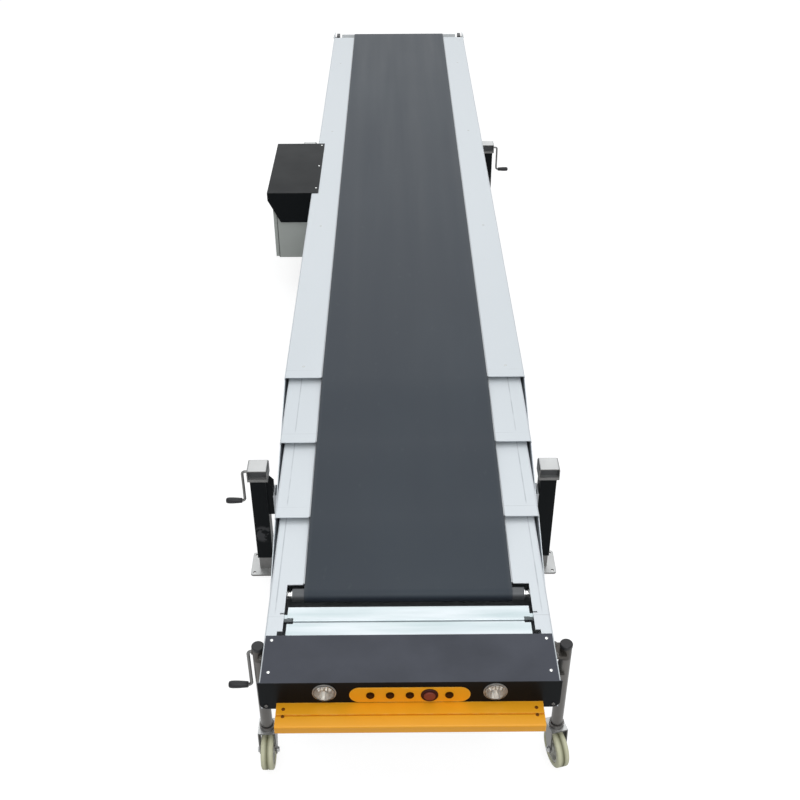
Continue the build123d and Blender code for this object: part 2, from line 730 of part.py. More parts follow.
# Screw jacks: outer tubes with welded lugs, gear heads and brackets on the base
BRACKET_BOTTOM = bottom(0) + BRACKET_LIFT
BRACKET_TOP = BRACKET_BOTTOM + BRACKET_HEIGHT
with BuildPart() as jack_tubes:
    for jack in JACKS:
        with Locations((jack.side * jack.out, jack.y, JACK_CLEAR)):
            Box(JACK_TUBE, JACK_TUBE, TUBE_TOP - JACK_CLEAR, align=OUTWARD)
        with BuildSketch(Plane.XZ.offset(-jack.y)):
            outline(
                (jack.side * jack.out, BRACKET_BOTTOM),
                (jack.side * (half(0) + BRACKET_DEPTH), BRACKET_BOTTOM),
                (jack.side * (half(0) + BRACKET_DEPTH), BRACKET_TOP + LUG_STEP),
                (jack.side * (jack.out - JACK_TUBE / 2), BRACKET_TOP + LUG_RISE),
                (jack.side * jack.out, BRACKET_TOP + LUG_RISE),
            )
        extrude(amount=LUG_WIDTH / 2, both=True)
        with Locations((jack.side * jack.out, jack.y, JACK_CLEAR)):
            bore = JACK_TUBE - 2 * JACK_WALL
            Box(bore, bore, 2 * TUBE_TOP, mode=Mode.SUBTRACT)
save(jack_tubes, "jack_tubes")

WINDOW = JACK_HEAD - 2 * JACK_WALL
WINDOW_HEIGHT = JACK_HEAD_HEIGHT - JACK_FLANGE - JACK_WALL
with BuildPart() as jack_heads:
    for jack in JACKS:
        with Locations((jack.side * jack.out, jack.y, TUBE_TOP)):
            Box(JACK_HEAD, JACK_HEAD_DEPTH, JACK_HEAD_HEIGHT, align=OUTWARD)
    fillet(jack_heads.edges().filter_by(Axis.Y).group_by(Axis.Z)[-1], HEAD_BEND)
    for jack in JACKS:
        with Locations((jack.side * jack.out, jack.y, TUBE_TOP + JACK_FLANGE)):
            Box(WINDOW, 2 * JACK_HEAD_DEPTH, WINDOW_HEIGHT, align=OUTWARD, mode=Mode.SUBTRACT)
        if jack.crank:
            with Locations(Location((jack.side * (jack.out + JACK_HEAD / 2), jack.y, CRANK_Z), (0, 90, 0))):
                Cylinder(CRANK_ROD + BORE_GAP, 2 * CRANK_SEAT, mode=Mode.SUBTRACT)
save(jack_heads, "jack_heads")

with BuildPart() as jack_gears:
    for jack in JACKS:
        with Locations((jack.side * jack.out, jack.y, TUBE_TOP + JACK_FLANGE)):
            Box(WINDOW, GEAR_DEPTH, WINDOW_HEIGHT, align=OUTWARD)
        if jack.crank:
            with Locations(Location((jack.side * (jack.out + JACK_HEAD / 2), jack.y, CRANK_Z), (0, 90, 0))):
                Cylinder(CRANK_ROD + BORE_GAP, 2 * (CRANK_SEAT + RUN_GAP), mode=Mode.SUBTRACT)
save(jack_gears, "jack_gears")

with BuildPart() as jack_brackets:
    for jack in JACKS:
        outward = Align.MIN if jack.side > 0 else Align.MAX
        with Locations((jack.side * half(0), jack.y, BRACKET_BOTTOM)):
            Box(BRACKET_DEPTH, BRACKET_WIDTH, BRACKET_HEIGHT, align=(outward, CENTRE, Align.MIN))
            Box(
                BRACKET_DEPTH - 2 * SHEET,
                BRACKET_WIDTH - 2 * SHEET,
                3 * BRACKET_HEIGHT,
                align=(outward, CENTRE, CENTRE),
                mode=Mode.SUBTRACT,
            )
save(jack_brackets, "jack_brackets")

# Inner jack tubes, each welded to its foot plate
for jack in JACKS:
    with BuildPart() as leg:
        with BuildSketch(Plane.XY):
            with Locations((jack.side * jack.out, jack.y)):
                RectangleRounded(FOOT_WIDTH, FOOT_DEPTH, FOOT_CORNER)
                with GridLocations(FOOT_HOLE_X, FOOT_HOLE_Y, 2, 2):
                    Circle(FOOT_HOLE_RADIUS, mode=Mode.SUBTRACT)
        extrude(amount=FOOT_THICKNESS)
        with Locations((jack.side * jack.out, jack.y, FOOT_THICKNESS)):
            Box(LEG_TUBE, LEG_TUBE, LEG_TOP - FOOT_THICKNESS, align=OUTWARD)
    save(leg, f"jack_leg_{jack.name}")

# Crank handles: a bent rod with a grip, on two jacks and on the left jockey pole
CRANKS = []
for jack in JACKS:
    if jack.crank:
        inside = jack.out + JACK_HEAD / 2 - CRANK_SEAT
        outside = jack.out + JACK_HEAD / 2 + JACK_CRANK_OUT
        name = f"crank_{jack.name}"
        CRANKS.append(Crank(name, jack.side, inside, outside, jack.y, CRANK_Z, JACK_CRANK_ARM))
for jockey in JOCKEYS:
    if jockey.crank:
        outside = jockey.out + POLE_RADIUS + POLE_CRANK_OUT
        name = f"crank_pole_{jockey.name}"
        CRANKS.append(Crank(name, jockey.side, jockey.out, outside, POLE_Y, POLE_CRANK_Z, POLE_CRANK_ARM))
for crank in CRANKS:
    end = crank.outside + CRANK_ROD + GRIP_LENGTH
    hand_z = crank.z - crank.arm
    rod_end = end - CRANK_ROD / 2
    facing = (0, -90 * crank.side, 0)
    with BuildPart() as rod:
        with BuildLine() as path:
            FilletPolyline(
                (crank.side * crank.inside, crank.y, crank.z),
                (crank.side * crank.outside, crank.y, crank.z),
                (crank.side * crank.outside, crank.y, hand_z),
                (crank.side * rod_end, crank.y, hand_z),
                radius=CRANK_BEND,
            )
        with BuildSketch(Plane(origin=path.line @ 0, z_dir=path.line % 0)):
            Circle(CRANK_ROD)
        sweep()
    save(rod, crank.name)
    with BuildPart() as grip:
        with Locations(Location((crank.side * end, crank.y, hand_z), facing)):
            Cylinder(CRANK_GRIP, GRIP_LENGTH - GRIP_GAP, align=OUTWARD)
        fillet(grip.edges(), CRANK_GRIP / 3)
        with Locations(Location((crank.side * (rod_end + RUN_GAP), crank.y, hand_z), facing)):
            Cylinder(CRANK_ROD + SEAT_GAP, GRIP_LENGTH, align=OUTWARD, mode=Mode.SUBTRACT)
    save(grip, f"{crank.name}_grip")

# Jockey poles on the nose, with caps
with BuildPart() as poles:
    for jockey in JOCKEYS:
        outward = Align.MIN if jockey.side > 0 else Align.MAX
        axle_line = Location((jockey.side * jockey.out, POLE_Y, POLE_CRANK_Z), (0, 90 * jockey.side, 0))
        with Locations((jockey.side * jockey.out, POLE_Y, POLE_BOTTOM)):
            Cylinder(POLE_RADIUS, POLE_TOP - POLE_BOTTOM, align=OUTWARD)
        for drop in CLAMP_DROPS:
            with Locations((jockey.side * half(NOSE), POLE_Y, POLE_TOP - drop)):
                Box(jockey.out - half(NOSE), CLAMP_DEPTH, CLAMP_HEIGHT, align=(outward, CENTRE, Align.MIN))
        with Locations(axle_line):
            if jockey.crank:
                Cylinder(CRANK_ROD + BOSS_WALL, POLE_RADIUS + POLE_BOSS, align=OUTWARD)
        with Locations((jockey.side * jockey.out, POLE_Y, POLE_BOTTOM)):
            Cylinder(POLE_BORE, 2 * POLE_TOP, mode=Mode.SUBTRACT)
        if jockey.crank:
            with Locations(axle_line):
                Cylinder(CRANK_ROD + BORE_GAP, 4 * POLE_RADIUS, align=OUTWARD, mode=Mode.SUBTRACT)
save(poles, "jockey_poles")

with BuildPart() as caps:
    for jockey in JOCKEYS:
        with Locations((jockey.side * jockey.out, POLE_Y, POLE_TOP)):
            Cylinder(POLE_RADIUS + CAP_LAP, CAP_HEIGHT, align=OUTWARD)
    fillet(caps.faces().filter_by(Axis.Z).group_by(Axis.Z)[-1].edges(), CAP_HEIGHT / 3)
save(caps, "jockey_caps")

# Jockey stems, swivel forks and wheels
for jockey in JOCKEYS:
    turned = Location((jockey.side * jockey.out, POLE_Y, 0), (0, 0, jockey.turn))
    with BuildPart() as stem:
        with Locations((jockey.side * jockey.out, POLE_Y, FORK_TOP + RUN_GAP)):
            Cylinder(STEM_RADIUS, STEM_TOP - FORK_TOP, align=OUTWARD)
            Cylinder(COLLAR_RADIUS, COLLAR_HEIGHT, align=OUTWARD)
            Cylinder(KING_PIN + BORE_GAP, 2 * COLLAR_HEIGHT, mode=Mode.SUBTRACT)
    save(stem, f"jockey_stem_{jockey.name}")
    with BuildPart() as fork:
        with Locations(turned * Location((0, FORK_BACK, FORK_TOP))):
            Box(2 * FORK_HALF, FORK_FRONT + FORK_BACK, FORK_PLATE, align=(CENTRE, Align.MAX, Align.MAX))
        with Locations(turned * Location((0, 0, FORK_TOP))):
            Cylinder(KING_PIN, COLLAR_HEIGHT, align=OUTWARD)
        for cheek in (-FORK_HALF, FORK_HALF - SHEET):
            with BuildSketch(Plane(turned * Plane.YZ.offset(cheek).location)):
                with Locations((-TRAIL, WHEEL_RADIUS)):
                    Circle(CHEEK_EYE)
                with Locations((FORK_BACK, FORK_TOP)):
                    Rectangle(FORK_FRONT + FORK_BACK, 2 * FORK_PLATE, align=(Align.MAX, Align.MAX))
                make_hull()
            extrude(amount=SHEET)
        with Locations(turned * Location((0, -TRAIL, WHEEL_RADIUS), (0, 90, 0))):
            Cylinder(AXLE_RADIUS, 2 * (FORK_HALF + SHEET))
    save(fork, f"jockey_fork_{jockey.name}")
    axle = turned * Location((0, -TRAIL, WHEEL_RADIUS), (0, 90, 0))
    with BuildPart() as hub:
        with Locations(axle):
            Cylinder(HUB_RADIUS - SEAT_GAP, WHEEL_WIDTH - 2 * THIN_SHEET)
            Cylinder(HUB_RADIUS - HUB_RIM, WHEEL_WIDTH, mode=Mode.SUBTRACT)
            Cylinder(HUB_RADIUS - HUB_RIM / 2, HUB_WEB)
            Cylinder(HUB_BOSS, WHEEL_WIDTH)
            Cylinder(AXLE_RADIUS + BORE_GAP, 2 * WHEEL_WIDTH, mode=Mode.SUBTRACT)
    save(hub, f"wheel_hub_{jockey.name}")
    with BuildPart() as tyre:
        with Locations(axle):
            Cylinder(WHEEL_RADIUS, WHEEL_WIDTH)
        fillet(tyre.edges(), 2 * GROOVE_DEPTH)
        with Locations(axle):
            Cylinder(2 * WHEEL_RADIUS, GROOVE_WIDTH, mode=Mode.SUBTRACT)
            Cylinder(WHEEL_RADIUS - GROOVE_DEPTH, GROOVE_WIDTH)
            Cylinder(HUB_RADIUS, 2 * WHEEL_WIDTH, mode=Mode.SUBTRACT)
    save(tyre, f"wheel_tyre_{jockey.name}")
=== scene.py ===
import json
import math
from typing import NamedTuple

import bmesh
import bpy
from mathutils import Matrix, Vector


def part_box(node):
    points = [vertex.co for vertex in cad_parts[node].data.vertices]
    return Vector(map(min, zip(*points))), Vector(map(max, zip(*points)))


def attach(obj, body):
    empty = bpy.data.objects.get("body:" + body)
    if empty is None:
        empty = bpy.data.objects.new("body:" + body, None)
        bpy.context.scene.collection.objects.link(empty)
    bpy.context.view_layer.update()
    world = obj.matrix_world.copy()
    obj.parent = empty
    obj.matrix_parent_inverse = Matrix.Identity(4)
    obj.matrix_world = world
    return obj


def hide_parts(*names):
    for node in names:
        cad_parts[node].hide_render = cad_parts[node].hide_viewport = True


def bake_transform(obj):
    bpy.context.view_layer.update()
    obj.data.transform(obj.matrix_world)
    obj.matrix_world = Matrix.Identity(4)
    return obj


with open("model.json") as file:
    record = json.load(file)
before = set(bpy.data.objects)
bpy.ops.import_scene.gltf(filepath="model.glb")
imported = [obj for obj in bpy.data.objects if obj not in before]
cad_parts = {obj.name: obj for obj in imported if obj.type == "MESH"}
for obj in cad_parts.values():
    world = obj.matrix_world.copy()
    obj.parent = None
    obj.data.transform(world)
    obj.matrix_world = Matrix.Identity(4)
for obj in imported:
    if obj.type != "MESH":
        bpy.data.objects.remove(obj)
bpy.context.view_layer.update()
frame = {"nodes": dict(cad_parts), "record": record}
scene = bpy.context.scene
nodes = frame["nodes"]
scene.view_settings.view_transform = "Standard"

# Places repeated from the part, in metres: lips in y, decks in z, rollers as (y, z), guides as (x, y, z)
SECTIONS = ("base", "section_2", "section_3", "nose")
LIPS = (-1.64525, -2.06825, -2.48525, -2.80325)
DECKS = (0.66, 0.64, 0.62, 0.60)
BELT_HALF = 0.35
BELT_THICK = 0.003
TAIL = (3.22575, 0.6017)
TAIL_OUTER = 0.0583
TAIL_RETURN = 0.3
ROLLER = (-2.82725, 0.5747)
ROLLER_OUTER = 0.0253
ROLLER_END = 0.39
JOURNAL_GAP = 0.0002
NOSE_RETURN = 0.6
GUIDES = ((0.51, -2.23125, 0.2947), (0.4945, -2.43425, 0.3147), (0.479, -2.85125, 0.3347))

# Nose: control box, lamps, jockey poles as (x, y, turn of the wheel in degrees)
NOSE_FACE = -3.22425
NOSE_TOP = 0.603
BUMPER_TOP = 0.51
LAMPS = (-0.264, 0.264)
LAMP_Z = 0.558
STOP = (0.061, NOSE_FACE - 0.011, 0.5465)
POLES = {"left": (-0.486, -3.04525, 0), "right": (0.506, -3.04525, 15)}
POLE_DARK_FROM = 0.511
TRAIL = 0.021
WHEEL_RADIUS = 0.068
CHEEK = 0.03

# Base: hood, motor, cabinet, and a worn spot on the front left jack
HOOD_TOP = 0.6625
MOTOR = (-0.585, 0.795, 0)
CABINET_FACE = -0.718
DOOR_FACE = -0.7363
CHIPS = (-0.585, -2.12, 0.205)
CHIPS_REACH = 0.048

# Cranks, with the side that each grip points to
CRANKS = {"crank_front_left": -1, "crank_rear_right": 1, "crank_pole_left": -1}

# Screws, bolts and locks
SIDES = (-1, 1)
HOOD_SCREW_X = -0.4873
HOOD_SCREWS_Y = (0.2795, 0.594, 0.912)
BOX_SCREWS_XY = ((0.438, -3.053), (0.437, -3.183))
FACE_SCREW_XZ = (0.447, 0.497)
BUMPER_SCREW_X = 0.391
BUMPER_SCREWS_Y = (-3.249, -3.2765)
COVER_SCREW_X = 0.434
COVER_SCREWS_Y = (-1.561, -0.204, 1.152, 2.508)
CLAMP_BOLT_X = 0.4735
CLAMP_BOLT_REACH = 0.0235
CLAMP_BOLTS_Z = (0.452, 0.542)
TAIL_BOLT_X = 0.51
TAIL_BOLT_REACH = 0.026
TAIL_BOLTS_Z = (0.563, 0.641)
LOCK_Y = 0.262
LOCKS_Z = (0.33, 0.53)

X, Y, Z = Vector((1, 0, 0)), Vector((0, 1, 0)), Vector((0, 0, 1))


def wheel_axle(side):
    """Middle of a jockey wheel and the direction of its axle, at rest."""
    x, y, turn = POLES[side]
    a = math.radians(turn)
    hub = Vector((x + TRAIL * math.sin(a), y - TRAIL * math.cos(a), WHEEL_RADIUS))
    return hub, Vector((math.cos(a), math.sin(a), 0))


# Materials
EVEN = (1, 1, 1)
PLAIN_SHEEN = (1, 1, 1, 1)
COOL_SHEEN = (0.76, 0.92, 1, 1)


class Grain(NamedTuple):
    scale: float
    strength: float
    depth: float


class Look(NamedTuple):
    """Tones and roughness run between two values; the scale is that of the noise between them."""

    name: str
    dark: tuple
    light: tuple
    rough: tuple
    metal: float
    scale: float
    stretch: tuple
    grain: Grain
    specular: float
    sheen: tuple = PLAIN_SHEEN
    # Paler tone on the edges: partly wear, partly a painted highlight
    edge_wear_and_highlight: tuple = None


LOOKS = [
    Look("bed_sheet", (0.45, 0.47, 0.49), (0.55, 0.57, 0.59), (0.4, 0.55), 0.2, 4, EVEN,
         Grain(300, 0.05, 0.0004), 0.5),
    Look("black_paint", (0.0035, 0.0037, 0.004), (0.006, 0.0063, 0.007), (0.32, 0.46), 0.0, 8, EVEN,
         Grain(1200, 0.12, 0.0002), 0.07, COOL_SHEEN, (0.045, 0.046, 0.048)),
    Look("zinc", (0.44, 0.45, 0.45), (0.58, 0.58, 0.57), (0.32, 0.48), 0.85, 30, EVEN,
         Grain(400, 0.08, 0.0003), 0.5),
    # A darker copy of the zinc: partly a duller metal, partly painted shade on the sides of legs, heads,
    # forks and cranks
    Look("dull_and_shaded_zinc", (0.12, 0.12, 0.118), (0.21, 0.208, 0.203), (0.32, 0.46), 0.85, 30, EVEN,
         Grain(400, 0.08, 0.0003), 0.5),
    Look("galvanised", (0.34, 0.45, 0.46), (0.84, 0.87, 0.90), (0.28, 0.46), 0.4, 7, (0.4, 4, 1),
         Grain(200, 0.08, 0.0004), 0.5),
    Look("roller_steel", (0.06, 0.06, 0.065), (0.09, 0.09, 0.10), (0.4, 0.55), 0.3, 10, EVEN,
         Grain(300, 0.06, 0.0003), 0.5),
    Look("bright_steel", (0.75, 0.75, 0.74), (0.88, 0.88, 0.87), (0.18, 0.3), 0.9, 60, EVEN,
         Grain(500, 0.05, 0.0002), 0.5),
    Look("cast_grey", (0.05, 0.052, 0.054), (0.09, 0.092, 0.095), (0.45, 0.6), 0.1, 20, EVEN,
         Grain(150, 0.2, 0.0006), 0.4),
    Look("cabinet_grey", (0.41, 0.435, 0.41), (0.48, 0.505, 0.48), (0.4, 0.5), 0.0, 5, EVEN,
         Grain(700, 0.1, 0.0002), 0.4),
    Look("yellow_paint", (0.84, 0.36, 0.010), (0.92, 0.41, 0.014), (0.32, 0.42), 0.0, 5, EVEN,
         Grain(700, 0.06, 0.0002), 0.4, PLAIN_SHEEN, (0.92, 0.55, 0.11)),
    Look("black_plastic", (0.010, 0.010, 0.011), (0.016, 0.016, 0.018), (0.35, 0.5), 0.0, 40, EVEN,
         Grain(900, 0.1, 0.0002), 0.35),
    Look("dark_steel", (0.10, 0.096, 0.090), (0.15, 0.143, 0.135), (0.30, 0.42), 0.6, 20, EVEN,
         Grain(250, 0.08, 0.0003), 0.5),
    Look("nylon", (0.55, 0.55, 0.50), (0.63, 0.63, 0.58), (0.45, 0.55), 0.0, 40, EVEN,
         Grain(600, 0.05, 0.0002), 0.5),
    Look("lamp_chrome", (0.34, 0.33, 0.31), (0.42, 0.41, 0.39), (0.40, 0.50), 0.5, 40, EVEN,
         Grain(80, 0.04, 0.0004), 0.5),
    Look("reflector", (0.32, 0.31, 0.295), (0.44, 0.43, 0.41), (0.32, 0.44), 0.6, 60, EVEN,
         Grain(90, 0.05, 0.0004), 0.5),
    # Bright white bulbs that make painted glints in the lamps
    Look("bulb_white_glint", (0.86, 0.85, 0.82), (0.95, 0.94, 0.92), (0.10, 0.20), 0.0, 60, EVEN,
         Grain(200, 0.05, 0.0002), 0.8),
    Look("warm_black", (0.030, 0.009, 0.0015), (0.048, 0.015, 0.002), (0.40, 0.50), 0.0, 40, EVEN,
         Grain(900, 0.1, 0.0002), 0.08),
    Look("brown_steel", (0.13, 0.042, 0.004), (0.19, 0.060, 0.006), (0.40, 0.50), 0.1, 60, EVEN,
         Grain(900, 0.1, 0.0002), 0.10),
    Look("wheel_tread", (0.60, 0.60, 0.41), (0.72, 0.72, 0.52), (0.5, 0.62), 0.0, 30, EVEN,
         Grain(500, 0.15, 0.0003), 0.4),
]
# Reach of the paler edges, which are partly wear and partly a painted highlight
EDGE_WEAR_AND_HIGHLIGHT_REACH = 0.006
NOISE_DETAIL = 4.0


def shader(name):
    """A new material, its node tree and its main shader."""
    mat = bpy.data.materials.new(name)
    mat.use_nodes = True
    tree = mat.node_tree
    return mat, tree, tree.nodes["Principled BSDF"]


def wire(tree, a, b):
    tree.links.new(a, b)


def ramp_between(tree, value, low, high, start=0.0, end=1.0):
    """The value from start to end, spread between low and high."""
    spread = tree.nodes.new("ShaderNodeMapRange")
    spread.inputs["From Min"].default_value = start
    spread.inputs["From Max"].default_value = end
    spread.inputs["To Min"].default_value = low
    spread.inputs["To Max"].default_value = high
    wire(tree, value, spread.inputs["Value"])
    return spread.outputs["Result"]


def place(tree):
    """The object's own coordinates, which are the frame's at rest."""
    return tree.nodes.new("ShaderNodeTexCoord").outputs["Object"]


def normal(tree, kind):
    return tree.nodes.new("ShaderNodeNewGeometry").outputs[kind]


def split(tree, vector):
    parts = tree.nodes.new("ShaderNodeSeparateXYZ")
    wire(tree, vector, parts.inputs[0])
    return parts.outputs


def axes(tree):
    return split(tree, place(tree))


def feed(tree, node, *values):
    """Gives a node its inputs, each a socket or a fixed value."""
    for socket, value in zip(node.inputs, values):
        if isinstance(value, bpy.types.NodeSocket):
            wire(tree, value, socket)
        else:
            socket.default_value = value


def math_node(tree, operation, *values):
    node = tree.nodes.new("ShaderNodeMath")
    node.operation = operation
    feed(tree, node, *values)
    return node.outputs[0]


def vector_node(tree, operation, a, b):
    """A number worked out from two vectors."""
    node = tree.nodes.new("ShaderNodeVectorMath")
    node.operation = operation
    feed(tree, node, a, b)
    return node.outputs["Value"]


def product(tree, first, *others):
    for other in others:
        first = math_node(tree, "MULTIPLY", first, other)
    return first


def band(tree, value, centre, half):
    """1 on a line at the centre, fading to 0 at its half width."""
    away = math_node(tree, "ABSOLUTE", math_node(tree, "SUBTRACT", value, centre))
    return ramp_between(tree, away, 1.0, 0.0, half * 0.5, half)


def noise(tree, scale, stretch=EVEN):
    """Noise over the object's own coordinates, in metres."""
    mapping = tree.nodes.new("ShaderNodeMapping")
    mapping.inputs["Scale"].default_value = stretch
    field = tree.nodes.new("ShaderNodeTexNoise")
    field.inputs["Scale"].default_value = scale
    field.inputs["Detail"].default_value = NOISE_DETAIL
    wire(tree, place(tree), mapping.inputs["Vector"])
    wire(tree, mapping.outputs["Vector"], field.inputs["Vector"])
    return field.outputs["Fac"]


def two_tones(tree, factor, dark, light):
    """A mix of two tones, each a fixed colour or a socket."""
    mix = tree.nodes.new("ShaderNodeMix")
    mix.data_type = "RGBA"
    for socket, tone in ((mix.inputs[6], dark), (mix.inputs[7], light)):
        if isinstance(tone, tuple):
            socket.default_value = (*tone, 1)
        else:
            wire(tree, tone, socket)
    wire(tree, factor, mix.inputs[0])
    return mix.outputs[2]


def bump(tree, bsdf, height, strength, distance):
    node = tree.nodes.new("ShaderNodeBump")
    node.inputs["Strength"].default_value = strength
    node.inputs["Distance"].default_value = distance
    wire(tree, height, node.inputs["Height"])
    wire(tree, node.outputs["Normal"], bsdf.inputs["Normal"])


def edges(tree, reach):
    """1 along sharp edges, broken up by noise."""
    soft = tree.nodes.new("ShaderNodeBevel")
    soft.inputs["Radius"].default_value = reach
    turned = vector_node(tree, "DOT_PRODUCT", soft.outputs["Normal"], normal(tree, "Normal"))
    near = ramp_between(tree, turned, 1.0, 0.0, 0.80, 0.97)
    return product(tree, near, ramp_between(tree, noise(tree, 40.0), 0.1, 0.9, 0.4, 0.62))


def surface(look):
    """Two close tones and an uneven roughness, with a fine grain in the bump."""
    mat, tree, bsdf = shader(look.name)
    broad = noise(tree, look.scale, look.stretch)
    paint = two_tones(tree, broad, look.dark, look.light)
    # Paler edges: partly wear, partly a painted highlight where the edges catch the light
    if look.edge_wear_and_highlight:
        paint = two_tones(tree, edges(tree, EDGE_WEAR_AND_HIGHLIGHT_REACH), paint, look.edge_wear_and_highlight)
    wire(tree, paint, bsdf.inputs["Base Color"])
    wire(tree, ramp_between(tree, broad, *look.rough), bsdf.inputs["Roughness"])
    bsdf.inputs["Metallic"].default_value = look.metal
    bsdf.inputs["Specular IOR Level"].default_value = look.specular
    bsdf.inputs["Specular Tint"].default_value = look.sheen
    bump(tree, bsdf, noise(tree, look.grain.scale, look.stretch), look.grain.strength, look.grain.depth)
    return mat


looks = {look.name: surface(look) for look in LOOKS}

# Wear on the covers: a line behind each lip, lines along the sections, specks
LIP_LINE_BACK = 0.055
LIP_LINE_HALF = 0.0022
LONG_LINE_X = 0.438
LONG_LINE_HALF = 0.0028
LONG_LINE_START = (0.06, 0.09)
COVER_DEPTH = (0.003, 0.002)


def cover_paint(name, lip, deck, lined):
    """Pale silver paint; the cover has a faint line behind its lip and, if lined, wear lines along it."""
    mat, tree, bsdf = shader(name)
    x, y, z = axes(tree)
    cover = ramp_between(tree, z, 0.0, 1.0, *(deck - depth for depth in COVER_DEPTH))
    broad = noise(tree, 2.0, (1, 0.3, 1))
    paint = two_tones(tree, broad, (0.60, 0.645, 0.675), (0.68, 0.72, 0.75))
    rubbed = ramp_between(tree, noise(tree, 9.0), 0.0, 0.5, 0.35, 0.6)
    behind = product(tree, band(tree, y, lip + LIP_LINE_BACK, LIP_LINE_HALF), rubbed, cover)
    paint = two_tones(tree, behind, paint, (0.42, 0.45, 0.47))
    if lined:
        along = band(tree, math_node(tree, "ABSOLUTE", x), LONG_LINE_X, LONG_LINE_HALF)
        stops = ramp_between(tree, y, 0.0, 1.0, *(lip + start for start in LONG_LINE_START))
        rubbed = ramp_between(tree, noise(tree, 6.0, (1, 2, 1)), 0.15, 0.75, 0.3, 0.6)
        paint = two_tones(tree, product(tree, along, stops, rubbed, cover), paint, (0.40, 0.43, 0.46))
    specks = ramp_between(tree, noise(tree, 260.0), 0.0, 0.35, 0.70, 0.78)
    paint = two_tones(tree, specks, paint, (0.48, 0.51, 0.53))
    wire(tree, paint, bsdf.inputs["Base Color"])
    wire(tree, ramp_between(tree, broad, 0.36, 0.48), bsdf.inputs["Roughness"])
    bsdf.inputs["Metallic"].default_value = 0.2
    bump(tree, bsdf, noise(tree, 300), 0.05, 0.0004)
    return mat


def belt_rubber():
    """Matt charcoal belt: fine grain, faint streaks along it, a few scuffs and slightly paler edges."""
    mat, tree, bsdf = shader("belt_rubber")
    streaks = noise(tree, 14.0, (1, 0.04, 1))
    rubber = two_tones(tree, streaks, (0.016, 0.021, 0.031), (0.023, 0.029, 0.041))
    clouds = ramp_between(tree, noise(tree, 1.7, (1, 0.5, 1)), 0.0, 0.6, 0.45, 0.7)
    rubber = two_tones(tree, clouds, rubber, (0.027, 0.035, 0.047))
    scuffs = ramp_between(tree, noise(tree, 34.0, (1, 0.45, 1)), 0.0, 0.25, 0.66, 0.76)
    rubber = two_tones(tree, scuffs, rubber, (0.047, 0.054, 0.064))
    from_middle = math_node(tree, "ABSOLUTE", axes(tree)[0])
    edge = ramp_between(tree, from_middle, 0.0, 0.35, BELT_HALF - 0.015, BELT_HALF)
    rubber = two_tones(tree, edge, rubber, (0.06, 0.065, 0.072))
    wire(tree, rubber, bsdf.inputs["Base Color"])
    wire(tree, ramp_between(tree, streaks, 0.46, 0.6), bsdf.inputs["Roughness"])
    bsdf.inputs["Specular IOR Level"].default_value = 0.36
    bsdf.inputs["Specular Tint"].default_value = (0.9, 1, 1, 1)
    bump(tree, bsdf, noise(tree, 900.0), 0.18, 0.0003)
    return mat


def stop_red():
    """Brick red centre and a dark rim."""
    mat, tree, bsdf = shader("red_plastic")
    rim = ramp_between(tree, vector_node(tree, "DISTANCE", place(tree), STOP), 0.0, 1.0, 0.0175, 0.0195)
    grain = noise(tree, 150.0)
    centre = two_tones(tree, grain, (0.19, 0.040, 0.026), (0.25, 0.055, 0.035))
    wire(tree, two_tones(tree, rim, centre, (0.030, 0.003, 0.004)), bsdf.inputs["Base Color"])
    wire(tree, ramp_between(tree, grain, 0.35, 0.5), bsdf.inputs["Roughness"])
    bsdf.inputs["Specular IOR Level"].default_value = 0.2
    return mat


def lamp_glass():
    """Clear lens with moulded ribs."""
    mat, tree, bsdf = shader("lamp_glass")
    bsdf.inputs["Base Color"].default_value = (0.95, 0.95, 0.93, 1)
    bsdf.inputs["Transmission Weight"].default_value = 0.95
    bsdf.inputs["IOR"].default_value = 1.3
    wire(tree, ramp_between(tree, noise(tree, 120), 0.02, 0.08), bsdf.inputs["Roughness"])
    ribs = math_node(tree, "SINE", product(tree, axes(tree)[0], 900.0))
    bump(tree, bsdf, ribs, 0.25, 0.0006)
    return mat


def recoloured(name, look):
    """A copy of a look, its tree, its main shader and the socket that gives its colour."""
    mat = looks[look].copy()
    mat.name = name
    tree = mat.node_tree
    bsdf = tree.nodes["Principled BSDF"]
    return mat, tree, bsdf, bsdf.inputs["Base Color"].links[0].from_socket


def dust_and_lit_tops(name, look, lit_top_tone):
    """Paint or metal that is paler on the faces that look up: painted light on the tops, with some dust."""
    mat, tree, bsdf, paint = recoloured(name, look)
    up = ramp_between(tree, split(tree, normal(tree, "True Normal"))[2], 0.0, 1.0, 0.7, 0.95)
    uneven = ramp_between(tree, noise(tree, 5.0), 0.75, 1.0, 0.3, 0.7)
    wire(tree, two_tones(tree, product(tree, up, uneven), paint, lit_top_tone), bsdf.inputs["Base Color"])
    return mat


def chipped(name, look, centre, reach, tone):
    """Paint knocked off in spots around one place."""
    mat, tree, bsdf, paint = recoloured(name, look)
    away = vector_node(tree, "DISTANCE", place(tree), centre)
    near = ramp_between(tree, away, 1.0, 0.0, reach * 0.7, reach)
    spots = ramp_between(tree, noise(tree, 26.0), 0.0, 1.0, 0.47, 0.52)
    wire(tree, two_tones(tree, product(tree, near, spots), paint, tone), bsdf.inputs["Base Color"])
    return mat


def pole_steel():
    """Drawn tube, darker on the clamp length at its top."""
    mat, tree, bsdf, paint = recoloured("pole_steel", "dark_steel")
    dark = ramp_between(tree, axes(tree)[2], 0.0, 1.0, POLE_DARK_FROM - 0.003, POLE_DARK_FROM + 0.003)
    wire(tree, two_tones(tree, dark, paint, (0.060, 0.054, 0.048)), bsdf.inputs["Base Color"])
    return mat


